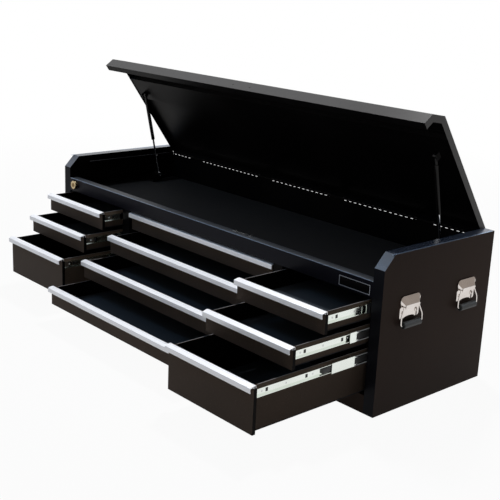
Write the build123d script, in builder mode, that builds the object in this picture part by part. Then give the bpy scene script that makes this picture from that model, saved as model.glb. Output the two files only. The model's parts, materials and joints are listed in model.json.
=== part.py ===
from build123d import *
import math
import os

os.makedirs("parts", exist_ok=True)

# Lid-top tool chest, 1830 mm wide, in millimetres.
# Origin: centre of the underside. +X to the right seen from the front, +Y to the rear, +Z up.
# The lid stands open on its struts and the drawers stand partly open.

# Overall size. The height and the depth follow from the drawer rows and the slides below.
width = 1830.0
sheet = 1.5                    # steel sheet of the body and the lid
drawer_sheet = 1.2             # steel sheet of the drawers
slide_length = 500.0           # ball-bearing slides
slide_setback = 15.0           # slides behind the drawer front's face
slide_rear_space = 34.0
row_count = 4
row_pitch = 82.0
base_rail_height = 62.0
row_clearance = 4.0            # above the uppermost row
row_base_gap = 4.5             # below the lowest row
drawer_inset = 11.0            # closed drawer fronts behind the front frame
rail_height = 52.5
lid_rise = 91.5                # chest's top above the upper rail

# Side panels: folded sheets whose top front corner is cut away at an angle
side_flange = 42.0             # width of the front, top and rear flanges
corner_run = 45.0              # length of the cut corner along the depth
corner_drop = 46.0             # height of the cut corner
side_lip = 28.0                # lip turned down from the top flange

# Front frame
rail_shelf = 40.0              # top flange of the upper rail
rail_lip = 10.0
fold_return = 14.0             # small folded edges
divider_width = 46.0
centre_opening = 850.0

# Drawer rows
front_height = 72.5
front_side_gap = 2.0
tray_rear_space = 2.0          # slides end ahead of the tray's rear wall
tray_floor_rise = 5.0          # tray floor above the lower edge of its front
tray_top_drop = 4.0            # tray wall below the row's top
front_return = 12.0
tray_hem = 6.0
tray_hem_thickness = 3.0

# Pull rails: extruded strips clipped over the top of each drawer front
pull_wall = 2.0
pull_reach = 16.0              # front lip ahead of the drawer front
pull_lip = 20.0
pull_slope = 4.0               # fall of the top plate towards its front edge
pull_hook = 8.0                # top plate behind the drawer front's face
pull_hook_drop = 7.0
pull_leg = 6.0
pull_bead = 3.0
pull_edge_radius = 1.5

# Ball-bearing slides, three members each
slide_thickness = 12.7
slide_drop = 28.0              # slide centre below the row's top
slide_web = 1.5
slide_gap = 0.3                # running gap between nested members
cabinet_member_height = 45.0
slider_height = 34.0
slider_setback = 60.0          # behind the drawer member's front end, drawer closed
slider_race = 3.2
runner_height = 27.0
runner_flange = 1.6
runner_reach = 8.2
slide_slot_length = 5.0
slide_slot_height = 8.0
slide_slot_first = 43.0
slide_slot_pitch = 161.0
lever_place = 272.0            # release lever along the drawer member
lever_length = 22.0
lever_height = 6.0

# How far each drawer stands open
open_left = (109.0, 196.0, 296.0)
open_centre = (0.0, 103.0, 226.0, 374.0)
open_right = (213.0, 341.0, 488.0)

# Top compartment
mat_thickness = 3.0
mat_side_margin = 31.0         # mat inside the side panels' flanges
mat_front_gap = 6.0
mat_rear_gap = 8.0

# Lid and hinge
lid_side_gap = 2.0
lid_rail_gap = 2.0             # closed lid above the upper rail
lid_return = 26.0
lid_skirt = 24.0
lid_open_angle = 54.4
lid_hole_radius = 2.5
lid_hole_spread = 94.0
lid_hole_height = 19.5         # above the lid's lower edge
hinge_drop = 29.0              # hinge line below the chest's top
knuckle_radius = 3.5
hinge_pin_radius = 1.6
hinge_pin_clearance = 0.05
knuckle_pitch = 12.7
knuckle_gap = 0.4
hinge_notch = 7.5              # edge of each leaf from the hinge line, between knuckles
leaf_height = 25.0
hinge_knuckles = (11, 31, 27, 29, 17)
hinge_end_inset = 5.0          # first and last strip inside the lid's ends
hinge_sleeve_radius = 3.4      # plain sleeves on the pin between the strips

# Lid stiffener and struts
stiffener_setback = 125.0      # behind the lid's front
stiffener_width = 108.0
stiffener_depth = 20.0
stiffener_foot = 12.0
strut_inset = 68.0             # inside the lid's ends
strut_lid_setback = 354.0      # upper stud ahead of the hinge line, lid closed
strut_lid_drop = 2.3           # and below it
strut_body_setback = 126.5     # lower stud ahead of the hinge line
strut_body_rise = 38.0         # above the compartment's floor
strut_tube_radius = 7.5
strut_tube_start = 38.0
strut_neck_radius = 6.0
strut_neck_start = 7.0
strut_collar_radius = 8.4
strut_collar_length = 7.0
strut_tube_end = 206.0
strut_tube_floor = 6.0
strut_rod_radius = 4.0
strut_rod_length = 216.0
strut_rod_clearance = 0.08
strut_eye_radius = 8.5
strut_eye_width = 15.4
strut_stud_radius = 4.0
strut_stud_clearance = 0.05
strut_plate_gap = 0.4
strut_plate = 2.0
strut_plate_reach = 12.0
strut_foot = 20.0

# Side handles
handle_places = (-146.5, 146.5)  # along the depth
handle_pivot_drop = 179.0      # below the chest's top
handle_pivot_out = 9.5
plate_thickness = 2.0
plate_width = 94.0
plate_top = 30.0               # above the pivot
plate_bottom = 41.0            # below the pivot
plate_corner = 8.0
plate_arch = 7.0               # shallow arch in the lower edge
plate_arch_width = 56.0
plate_notch = 5.0              # notch in each side edge
plate_notch_top = 25.0         # above the pivot
plate_notch_bottom = 3.0       # below the pivot
hood_width = 96.0              # at the plate
hood_lip_width = 68.0
hood_top = 34.5                # above the pivot
hood_side = 32.0               # height of the hood at the panel
hood_lip = 7.0
hood_lip_top = 7.0             # above the pivot
hood_wall = 1.5
hood_corner = 15.5
leg_slot_reach = 42.0          # slots in the hood's cheeks, where the bail's legs swing
leg_slot_rise = 3.5
leg_slot_depth = 3.5
barrel_radius = 4.5
barrel_width = 62.0
bail_rod_radius = 2.5
bail_clearance = 0.06
bail_trunnion = 8.0
bail_pivot_half = 35.0         # legs at the barrel's ends
bail_half_width = 51.0         # legs spread apart below
bail_shoulder_drop = 34.0
bail_drop = 58.0
bail_bow = 4.0                 # legs bend outward, then the grip hangs a little further out
bail_out = 5.0
bail_bend = 6.0
bail_shoulder_bend = 30.0
grip_radius = 11.0
grip_length = 84.0
grip_edge = 3.0
grip_clearance = 0.05
screw_spread = 32.0
screw_drop = 21.0
screw_head_radius = 5.5
screw_head_height = 1.8

# Lock
lock_inset = 42.0              # inside the left end of the rail
lock_drop = 22.5               # below the rail's top
lock_bezel_radius = 18.0
lock_bezel_reach = 12.0
lock_body_radius = 11.0
lock_body_length = 24.0
lock_core_radius = 8.5
lock_core_clearance = 0.05
lock_key_width = 2.0
lock_key_height = 9.0
lock_key_depth = 6.0
lock_cam_length = 18.0
lock_cam_width = 11.0
lock_cam_thickness = 2.0

# Small pads on the upper rail
pad_places = (183.0, 268.0)
pad_size = 12.0
pad_height = 1.6

# Places worked out from the sizes above
depth = drawer_inset + slide_setback + slide_length + slide_rear_space
front_y = -depth / 2
closed_face = front_y + drawer_inset
back_y = depth / 2 - sheet                 # inside of the side panels' rear flanges
lowest_row_top = base_rail_height + row_base_gap + front_height
rail_bottom = lowest_row_top + (row_count - 1) * row_pitch + row_clearance
rail_top = rail_bottom + rail_height
height = rail_top + lid_rise
first_row_top = rail_bottom - row_clearance
side_inner = width / 2 - sheet
opening_edge = width / 2 - side_flange
centre_edge = centre_opening / 2
side_edge = centre_edge + divider_width
side_opening = opening_edge - side_edge
side_column_x = (opening_edge + side_edge) / 2
tray_depth = slide_length + slide_setback - tray_rear_space
slider_length = slide_length - slider_setback
slot_count = int((slide_length - 2 * slide_slot_first) / slide_slot_pitch) + 1
floor_z = rail_bottom                      # underside of the compartment's floor
mat_half_width = opening_edge - mat_side_margin
lid_half_width = opening_edge - lid_side_gap
lid_bottom = rail_top + lid_rail_gap
lid_angle = math.radians(lid_open_angle)
hinge_y = back_y - sheet - knuckle_radius
hinge_height = height - hinge_drop
strut_x = lid_half_width - strut_inset
strut_lid_y = hinge_y - strut_lid_setback
strut_lid_z = hinge_height - strut_lid_drop
strut_body_y = hinge_y - strut_body_setback
strut_body_z = floor_z + sheet + strut_body_rise
stiffener_front = front_y + stiffener_setback
handle_pivot_z = height - handle_pivot_drop
lock_x = -opening_edge + lock_inset
lock_z = rail_top - lock_drop

# The hinge is cut into strips with equal spaces between them
hinge_span = 2 * (lid_half_width - hinge_end_inset)
hinge_space = (hinge_span - sum(hinge_knuckles) * knuckle_pitch) / (len(hinge_knuckles) - 1)
hinge_strips = [
    (-hinge_span / 2 + sum(hinge_knuckles[:i]) * knuckle_pitch + i * hinge_space, knuckles)
    for i, knuckles in enumerate(hinge_knuckles)
]

columns = {
    "left": (-side_column_x, side_opening, open_left),
    "centre": (0.0, centre_opening, open_centre),
    "right": (side_column_x, side_opening, open_right),
}


def slab(x, y, z, mode=Mode.ADD):
    # A box between two values on each axis.
    with Locations(((x[0] + x[1]) / 2, (y[0] + y[1]) / 2, (z[0] + z[1]) / 2)):
        Box(abs(x[1] - x[0]), abs(y[1] - y[0]), abs(z[1] - z[0]), mode=mode)


def rod(radius, start, end, mode=Mode.ADD):
    # A round bar from one point to another.
    axis = Vector(*end) - Vector(*start)
    with Locations(Plane(origin=start, z_dir=axis)):
        Cylinder(radius, axis.length, align=(Align.CENTER, Align.CENTER, Align.MIN), mode=mode)


def open_lid(piece):
    # Turns a piece that was modelled on the closed lid up to the open lid.
    return piece.rotate(Axis((0, hinge_y, hinge_height), (1, 0, 0)), -lid_open_angle)


def lid_point(y, z):
    # The open-lid place of a point of the closed lid.
    dy = y - hinge_y
    dz = z - hinge_height
    return (
        hinge_y + dy * math.cos(lid_angle) + dz * math.sin(lid_angle),
        hinge_height - dy * math.sin(lid_angle) + dz * math.cos(lid_angle),
    )


def write(name, shape):
    shape.label = name
    export_step(shape, f"parts/{name}.step")


# Body shell

# Outer shape of a side panel: depth across, height up
side_outline = (
    (front_y, 0),
    (front_y, height - corner_drop),
    (front_y + corner_run, height),
    (depth / 2, height),
    (depth / 2, 0),
)


def make_side_panels():
    with BuildPart() as side_panels:
        for side in (-1, 1):
            outside = Plane.YZ.offset(side * width / 2)
            with BuildSketch(outside):
                Polygon(*side_outline, align=None)
            extrude(amount=-side * sheet)
            with BuildSketch(outside):
                Polygon(*side_outline, align=None)
                offset(amount=-sheet, kind=Kind.INTERSECTION, mode=Mode.SUBTRACT)
                with Locations((0, sheet / 2)):
                    Rectangle(depth - 2 * sheet, sheet, mode=Mode.SUBTRACT)
            extrude(amount=-side * side_flange)
            slab(
                (side * opening_edge, side * (opening_edge + sheet)),
                (front_y + corner_run, back_y),
                (height - sheet - side_lip, height - sheet),
            )
    write("side_panels", side_panels.part)


def make_base_pan():
    with BuildPart() as base_pan:
        slab((-side_inner, side_inner), (front_y + sheet, back_y), (0, sheet))
        slab((-opening_edge, opening_edge), (front_y, front_y + sheet), (0, base_rail_height))
        slab(
            (-opening_edge, opening_edge),
            (front_y + sheet, front_y + fold_return),
            (base_rail_height - sheet, base_rail_height),
        )
    write("base_pan", base_pan.part)


def make_back_panel():
    with BuildPart() as back_panel:
        slab((-side_inner, side_inner), (back_y - sheet, back_y), (sheet, hinge_height - hinge_notch))
    write("back_panel", back_panel.part)


def make_front_rail():
    inner_y = front_y + sheet
    with BuildPart() as front_rail:
        slab((-opening_edge, opening_edge), (front_y, inner_y), (rail_bottom, rail_top))
        slab(
            (-opening_edge, opening_edge),
            (inner_y, front_y + rail_shelf),
            (rail_top - sheet, rail_top),
        )
        slab(
            (-opening_edge, opening_edge),
            (front_y + rail_shelf - sheet, front_y + rail_shelf),
            (rail_top - sheet - rail_lip, rail_top - sheet),
        )
        slab(
            (-opening_edge, opening_edge),
            (inner_y, front_y + fold_return),
            (rail_bottom, rail_bottom + sheet),
        )
        rod(
            lock_body_radius,
            (lock_x, front_y - sheet, lock_z),
            (lock_x, inner_y + sheet, lock_z),
            mode=Mode.SUBTRACT,
        )
        for place in pad_places:
            slab(
                (place - pad_size / 2, place + pad_size / 2),
                (front_y + rail_shelf - pad_size, front_y + rail_shelf - sheet),
                (rail_top, rail_top + pad_height),
            )
    write("front_rail", front_rail.part)


def make_column_walls():
    # Two box-shaped dividers between the columns and two walls inside the side panels.
    with BuildPart() as column_walls:
        for side in (-1, 1):
            inner = side * centre_edge
            outer = side * side_edge
            slab((inner, outer), (front_y, front_y + sheet), (base_rail_height, rail_bottom))
            slab((inner, inner + side * sheet), (front_y + sheet, back_y - sheet), (sheet, floor_z))
            slab((outer - side * sheet, outer), (front_y + sheet, back_y - sheet), (sheet, floor_z))
            edge = side * opening_edge
            slab((edge, edge + side * sheet), (front_y + sheet, back_y - sheet), (sheet, floor_z))
            for z in (sheet, floor_z - sheet):
                slab((edge, side * side_inner), (front_y + sheet, back_y - sheet), (z, z + sheet))
        slab(
            (-side_inner, side_inner),
            (front_y, front_y + fold_return),
            (0, base_rail_height),
            mode=Mode.SUBTRACT,
        )
    write("column_walls", column_walls.part)


def strut_bracket_x(side):
    # The upright plate stands just outside the strut's eye.
    near = strut_x + strut_eye_width / 2 + strut_plate_gap
    return side * near, side * (near + strut_plate)


def make_compartment_floor():
    floor_top = floor_z + sheet
    with BuildPart() as compartment_floor:
        slab((-side_inner, side_inner), (front_y + fold_return, back_y - sheet), (floor_z, floor_top))
        for side in (-1, 1):
            near, far = strut_bracket_x(side)
            slab(
                (near, far),
                (strut_body_y - 2 * strut_plate_reach, strut_body_y + 2 * strut_plate_reach),
                (floor_top, strut_body_z + strut_plate_reach),
            )
            slab(
                (far, far + side * strut_foot),
                (strut_body_y - 2 * strut_plate_reach, strut_body_y + 2 * strut_plate_reach),
                (floor_top, floor_top + strut_plate),
            )
            rod(
                strut_stud_radius,
                (near, strut_body_y, strut_body_z),
                (side * (strut_x - strut_eye_width / 2 - strut_plate_gap), strut_body_y, strut_body_z),
            )
    write("compartment_floor", compartment_floor.part)


def make_compartment_mat():
    bottom = floor_z + sheet
    notch = strut_foot + strut_eye_width / 2 + strut_plate + 2 * strut_plate_gap
    with BuildPart() as compartment_mat:
        slab(
            (-mat_half_width, mat_half_width),
            (front_y + fold_return + mat_front_gap, back_y - sheet - mat_rear_gap),
            (bottom, bottom + mat_thickness),
        )
        for side in (-1, 1):
            inside = side * (strut_x - strut_eye_width)
            slab(
                (inside, inside + side * (notch + strut_eye_width)),
                (strut_body_y - 3 * strut_plate_reach, back_y),
                (bottom, bottom + mat_thickness),
                mode=Mode.SUBTRACT,
            )
    write("compartment_mat", compartment_mat.part)


# Ball-bearing slides

def channel_outline(side, wall, centre_z, sizes):
    # Section of a channel, seen along the depth. Its web and flanges are measured from the wall.
    web, flange, half, inner_half = sizes
    open_edge = flange[1] if flange[0] == web[0] else flange[0]
    web_back, web_front = web if flange[0] == web[0] else (web[1], web[0])
    return [
        (wall - side * out, centre_z + up)
        for out, up in (
            (web_back, -half),
            (open_edge, -half),
            (open_edge, -inner_half),
            (web_front, -inner_half),
            (web_front, inner_half),
            (open_edge, inner_half),
            (open_edge, half),
            (web_back, half),
        )
    ]


def slot_centres(start, heights):
    return [
        (start + slide_slot_first + number * slide_slot_pitch, slide_z)
        for number in range(slot_count)
        for slide_z in heights
    ]


cabinet_web = (0.0, slide_web)
slider_web = (slide_web + slide_gap, 2 * slide_web + slide_gap)
runner_web = (slide_thickness - slide_web, slide_thickness)
cabinet_sizes = (
    cabinet_web,
    (0.0, slide_thickness - slide_web - slide_gap),
    cabinet_member_height / 2,
    slider_height / 2 + slide_gap,
)
slider_sizes = (
    slider_web,
    (slider_web[0], slide_thickness - slide_web - slide_gap),
    slider_height / 2,
    slider_height / 2 - slider_race,
)
runner_sizes = (
    runner_web,
    (slide_thickness - runner_reach, slide_thickness),
    runner_height / 2,
    runner_height / 2 - runner_flange,
)


def make_cabinet_slides():
    start = closed_face + slide_setback
    with BuildPart() as cabinet_slides:
        for centre_x, opening, opened in columns.values():
            heights = [first_row_top - row * row_pitch - slide_drop for row in range(len(opened))]
            for side in (-1, 1):
                wall = centre_x + side * opening / 2
                with BuildSketch(Plane.XZ.offset(-start)):
                    for slide_z in heights:
                        Polygon(*channel_outline(side, wall, slide_z, cabinet_sizes), align=None)
                extrude(amount=-slide_length)
                with BuildSketch(Plane.YZ.offset(wall)):
                    with Locations(*slot_centres(start, heights)):
                        Rectangle(slide_slot_length, slide_slot_height)
                extrude(amount=-side * slide_web, mode=Mode.SUBTRACT)
    write("cabinet_slides", cabinet_slides.part)


def make_sliders(name, centre_x, opening, row_top, opened):
    # The middle members travel half as far as their drawer.
    start = closed_face + slide_setback + slider_setback - opened / 2
    with BuildPart() as sliders:
        with BuildSketch(Plane.XZ.offset(-start)):
            for side in (-1, 1):
                wall = centre_x + side * opening / 2
                Polygon(*channel_outline(side, wall, row_top - slide_drop, slider_sizes), align=None)
        extrude(amount=-slider_length)
    write(f"sliders_{name}", sliders.part)


def make_runners(name, centre_x, opening, row_top, opened):
    # The drawer members are fixed to the sides of the tray. Each carries a release lever.
    slide_z = row_top - slide_drop
    start = closed_face + slide_setback - opened
    lever_start = start + lever_place
    with BuildPart() as runners:
        for side in (-1, 1):
            wall = centre_x + side * opening / 2
            with BuildSketch(Plane.XZ.offset(-start)):
                Polygon(*channel_outline(side, wall, slide_z, runner_sizes), align=None)
            extrude(amount=-slide_length)
            with BuildSketch(Plane.YZ.offset(wall - side * runner_web[0])):
                with Locations(*slot_centres(start, [slide_z])):
                    Rectangle(slide_slot_length, slide_slot_height)
            extrude(amount=-side * slide_web, mode=Mode.SUBTRACT)
            slab(
                (wall - side * (slide_thickness - runner_reach), wall - side * runner_web[0]),
                (lever_start, lever_start + lever_length),
                (slide_z - lever_height / 2, slide_z + lever_height / 2),
            )
    write(f"runners_{name}", runners.part)


# Drawers

def make_drawer(name, centre_x, opening, row_top, front, opened):
    face = closed_face - opened
    half_front = opening / 2 - front_side_gap
    half_tray = opening / 2 - slide_thickness
    low = row_top - front
    tray_low = low + tray_floor_rise
    tray_top = row_top - tray_top_drop
    face_top = row_top - pull_wall
    rear = face + tray_depth
    hook_end = face + pull_hook + slide_gap
    hem_back = face + pull_hook - pull_wall
    t = drawer_sheet
    with BuildPart() as drawer:
        with BuildSketch(Plane.XY.offset(tray_low)):
            with Locations((centre_x, (face + rear) / 2)):
                Rectangle(2 * half_tray, tray_depth)
        extrude(amount=t)
        with BuildSketch(Plane.XY.offset(tray_low)):
            with Locations((centre_x, (face + rear) / 2)):
                Rectangle(2 * half_tray, tray_depth)
                Rectangle(2 * (half_tray - t), tray_depth - 2 * t, mode=Mode.SUBTRACT)
        extrude(amount=tray_top - tray_low)
        with BuildSketch(Plane.XY.offset(tray_top - tray_hem)):
            with Locations((centre_x, (face + rear) / 2)):
                Rectangle(2 * half_tray, tray_depth)
                Rectangle(2 * (half_tray - tray_hem_thickness), tray_depth, mode=Mode.SUBTRACT)
        extrude(amount=tray_hem)
        slab(
            (centre_x - half_tray, centre_x + half_tray),
            (face, hook_end),
            (face_top - pull_hook_drop - slide_gap, tray_top),
            mode=Mode.SUBTRACT,
        )
        with BuildSketch(Plane.XZ.offset(-face)):
            with Locations((centre_x, (low + face_top) / 2)):
                Rectangle(2 * half_front, face_top - low)
        extrude(amount=-t)
        with BuildSketch(Plane.XZ.offset(-face)):
            Polygon(
                (centre_x - half_front, face_top),
                (centre_x - half_front, low),
                (centre_x + half_front, low),
                (centre_x + half_front, face_top),
                (centre_x + half_front - t, face_top),
                (centre_x + half_front - t, low + t),
                (centre_x - half_front + t, low + t),
                (centre_x - half_front + t, face_top),
                align=None,
            )
        extrude(amount=-front_return)
        slab(
            (centre_x - half_front, centre_x + half_front),
            (hem_back, face + front_return),
            (face_top - pull_hook_drop - slide_gap, face_top),
            mode=Mode.SUBTRACT,
        )
        slab((centre_x - half_front, centre_x + half_front), (face, hem_back), (face_top - t, face_top))
        slab(
            (centre_x - half_front, centre_x + half_front),
            (hem_back - t, hem_back),
            (face_top - pull_hook_drop, face_top),
        )
    write(f"drawer_{name}", drawer.part)


def make_pull(name, centre_x, opening, row_top, opened):
    face = closed_face - opened
    half_front = opening / 2 - front_side_gap
    front_top = row_top - pull_slope
    with BuildPart() as pull:
        with BuildSketch(Plane.YZ.offset(centre_x - half_front)):
            with BuildLine():
                Polyline(
                    (face + pull_hook, row_top - pull_wall - pull_hook_drop),
                    (face + pull_hook, row_top),
                    (face, row_top),
                    (face - pull_reach, front_top),
                    (face - pull_reach, row_top - pull_lip),
                    (face - pull_reach + pull_bead, row_top - pull_lip),
                    (face - pull_reach + pull_bead, row_top - pull_lip + pull_bead),
                    (face - pull_reach + pull_wall, row_top - pull_lip + pull_bead + pull_wall),
                    (face - pull_reach + pull_wall, front_top - pull_wall),
                    (face - pull_wall, row_top - pull_wall),
                    (face - pull_wall, row_top - pull_wall - pull_leg),
                    (face, row_top - pull_wall - pull_leg),
                    (face, row_top - pull_wall),
                    (face + pull_hook - pull_wall, row_top - pull_wall),
                    (face + pull_hook - pull_wall, row_top - pull_wall - pull_hook_drop),
                    close=True,
                )
            make_face()
        extrude(amount=2 * half_front)
        long_edges = pull.edges().filter_by(Axis.X)
        back_edge = long_edges.group_by(Axis.Z)[-1].sort_by(Axis.Y)[-1]
        front_edge = long_edges.group_by(Axis.Y)[0].sort_by(Axis.Z)[-1]
        fillet([back_edge, front_edge], pull_edge_radius)
    write(f"pull_{name}", pull.part)


def make_all_drawers():
    for column, (centre_x, opening, opened) in columns.items():
        for row, distance in enumerate(opened):
            name = f"{column}_{row + 1}"
            row_top = first_row_top - row * row_pitch
            # The last drawer of a short column fills the rows below it.
            spare_rows = row_count - len(opened) if row == len(opened) - 1 else 0
            front = front_height + spare_rows * row_pitch
            make_drawer(name, centre_x, opening, row_top, front, distance)
            make_pull(name, centre_x, opening, row_top, distance)
            make_runners(name, centre_x, opening, row_top, distance)
            make_sliders(name, centre_x, opening, row_top, distance)


# Lid

# Outer shape of the closed lid: depth across, height up
lid_outline = (
    (front_y, lid_bottom),
    (front_y, height - corner_drop),
    (front_y + corner_run, height),
    (back_y, height),
    (back_y, lid_bottom),
)


def lid_section(wall, flange):
    # The outline as a band of the given wall, open below and at the lower rear.
    Polygon(*lid_outline, align=None)
    offset(amount=-wall, kind=Kind.INTERSECTION, mode=Mode.SUBTRACT)
    inner_y = front_y + flange
    with Locations(((inner_y + back_y) / 2, lid_bottom + wall / 2)):
        Rectangle(back_y - inner_y, wall, mode=Mode.SUBTRACT)
    with Locations((back_y - wall / 2, (lid_bottom + hinge_height + hinge_notch) / 2)):
        Rectangle(wall, hinge_height + hinge_notch - lid_bottom, mode=Mode.SUBTRACT)


def make_lid_shell():
    stiffener_back = stiffener_front + stiffener_width
    underside = height - sheet
    web_z = underside - stiffener_depth
    run = (-lid_half_width + sheet, lid_half_width - sheet)
    with BuildPart() as lid_shell:
        with BuildSketch(Plane.YZ.offset(-lid_half_width)):
            lid_section(sheet, lid_return)
        extrude(amount=2 * lid_half_width)
        for side in (-1, 1):
            with BuildSketch(Plane.YZ.offset(side * lid_half_width)):
                lid_section(lid_skirt, lid_skirt)
            extrude(amount=-side * sheet)
        for place in (-lid_hole_spread / 2, lid_hole_spread / 2):
            rod(
                lid_hole_radius,
                (place, front_y - sheet, lid_bottom + lid_hole_height),
                (place, front_y + 2 * sheet, lid_bottom + lid_hole_height),
                mode=Mode.SUBTRACT,
            )
    with BuildPart() as stiffener:
        slab(run, (stiffener_front, stiffener_back), (web_z, web_z + sheet))
        for edge, outward in ((stiffener_front, -1), (stiffener_back, 1)):
            slab(run, (edge, edge - outward * sheet), (web_z, underside))
            slab(run, (edge, edge + outward * stiffener_foot), (underside - sheet, underside))
        for side in (-1, 1):
            near, far = strut_bracket_x(side)
            slab(
                (near, far),
                (strut_lid_y - strut_plate_reach, strut_lid_y + strut_plate_reach),
                (strut_lid_z - strut_plate_reach, web_z),
            )
    lid = Compound(children=[open_lid(lid_shell.part), open_lid(stiffener.part)])
    write("lid_shell", lid)


# Hinge: five strips along the rear, with the pins in the body's leaves

def make_hinge_leaf(name, direction):
    # direction -1 is the leaf on the back panel, below the line, 1 the leaf in the lid, above it.
    leaf_y = (back_y - 2 * sheet, back_y - sheet)
    edge_z = hinge_height + direction * hinge_notch
    far_z = hinge_height + direction * leaf_height
    bore = hinge_pin_radius if direction < 0 else hinge_pin_radius + hinge_pin_clearance
    knuckle_width = knuckle_pitch - knuckle_gap
    with BuildPart() as leaf:
        for start, knuckles in hinge_strips:
            length = knuckles * knuckle_pitch
            with BuildSketch(Plane.YZ.offset(start)):
                with Locations(((leaf_y[0] + leaf_y[1]) / 2, (hinge_height + far_z) / 2)):
                    Rectangle(sheet, leaf_height)
                with Locations((hinge_y, hinge_height)):
                    Circle(knuckle_radius)
                    Circle(bore, mode=Mode.SUBTRACT)
            extrude(amount=length)
            own = 0 if direction < 0 else 1
            gaps = [(0.5 + number) * knuckle_pitch for number in range(1 - own, knuckles, 2)]
            edges = [number * knuckle_pitch for number in range(knuckles + 1)]
            with BuildSketch(Plane.XZ.offset(-hinge_y + 2 * knuckle_radius)):
                with Locations(*[(start + gap, hinge_height) for gap in gaps]):
                    Rectangle(knuckle_width, 2 * hinge_notch)
                with Locations(*[(start + edge, hinge_height) for edge in edges]):
                    Rectangle(knuckle_gap, 2 * hinge_notch)
            extrude(amount=-4 * knuckle_radius, mode=Mode.SUBTRACT)
    if direction > 0:
        write(name, open_lid(leaf.part))
        return
    pin_end = hinge_span / 2
    with BuildPart() as pins:
        rod(hinge_pin_radius, (-pin_end, hinge_y, hinge_height), (pin_end, hinge_y, hinge_height))
        for start, knuckles in hinge_strips[:-1]:
            end = start + knuckles * knuckle_pitch
            rod(
                hinge_sleeve_radius,
                (end + knuckle_gap, hinge_y, hinge_height),
                (end + hinge_space - knuckle_gap, hinge_y, hinge_height),
            )
    write(name, Compound(children=[leaf.part, pins.part]))


# Struts: tubes hang from the lid, rods slide in them down to the body

strut_top = lid_point(strut_lid_y, strut_lid_z)
strut_low = (strut_body_y, strut_body_z)
strut_reach = math.hypot(strut_low[0] - strut_top[0], strut_low[1] - strut_top[1])
strut_down = (
    (strut_low[0] - strut_top[0]) / strut_reach,
    (strut_low[1] - strut_top[1]) / strut_reach,
)


def strut_point(x, distance):
    # A point of the strut's centre line, measured down from the upper stud.
    return (x, strut_top[0] + strut_down[0] * distance, strut_top[1] + strut_down[1] * distance)


def make_strut_tubes():
    with BuildPart() as strut_tubes:
        for side in (-1, 1):
            x = side * strut_x
            half_eye = strut_eye_width / 2
            rod(strut_tube_radius, strut_point(x, strut_tube_start), strut_point(x, strut_tube_end))
            rod(
                strut_neck_radius,
                strut_point(x, strut_neck_start),
                strut_point(x, strut_tube_start + sheet),
            )
            rod(
                strut_collar_radius,
                strut_point(x, strut_tube_start - strut_collar_length),
                strut_point(x, strut_tube_start),
            )
            rod(strut_eye_radius, strut_point(x - half_eye, 0), strut_point(x + half_eye, 0))
            rod(
                strut_rod_radius + strut_rod_clearance,
                strut_point(x, strut_eye_radius + strut_tube_floor),
                strut_point(x, strut_tube_end + sheet),
                mode=Mode.SUBTRACT,
            )
    write("strut_tubes", strut_tubes.part)


def make_strut_rods():
    with BuildPart() as strut_rods:
        for side in (-1, 1):
            x = side * strut_x
            half_eye = strut_eye_width / 2
            rod(
                strut_rod_radius,
                strut_point(x, strut_reach - strut_rod_length),
                strut_point(x, strut_reach),
            )
            rod(
                strut_eye_radius,
                strut_point(x - half_eye, strut_reach),
                strut_point(x + half_eye, strut_reach),
            )
            rod(
                strut_stud_radius + strut_stud_clearance,
                strut_point(x - 2 * half_eye, strut_reach),
                strut_point(x + 2 * half_eye, strut_reach),
                mode=Mode.SUBTRACT,
            )
    write("strut_rods", strut_rods.part)


# Side handles

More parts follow.
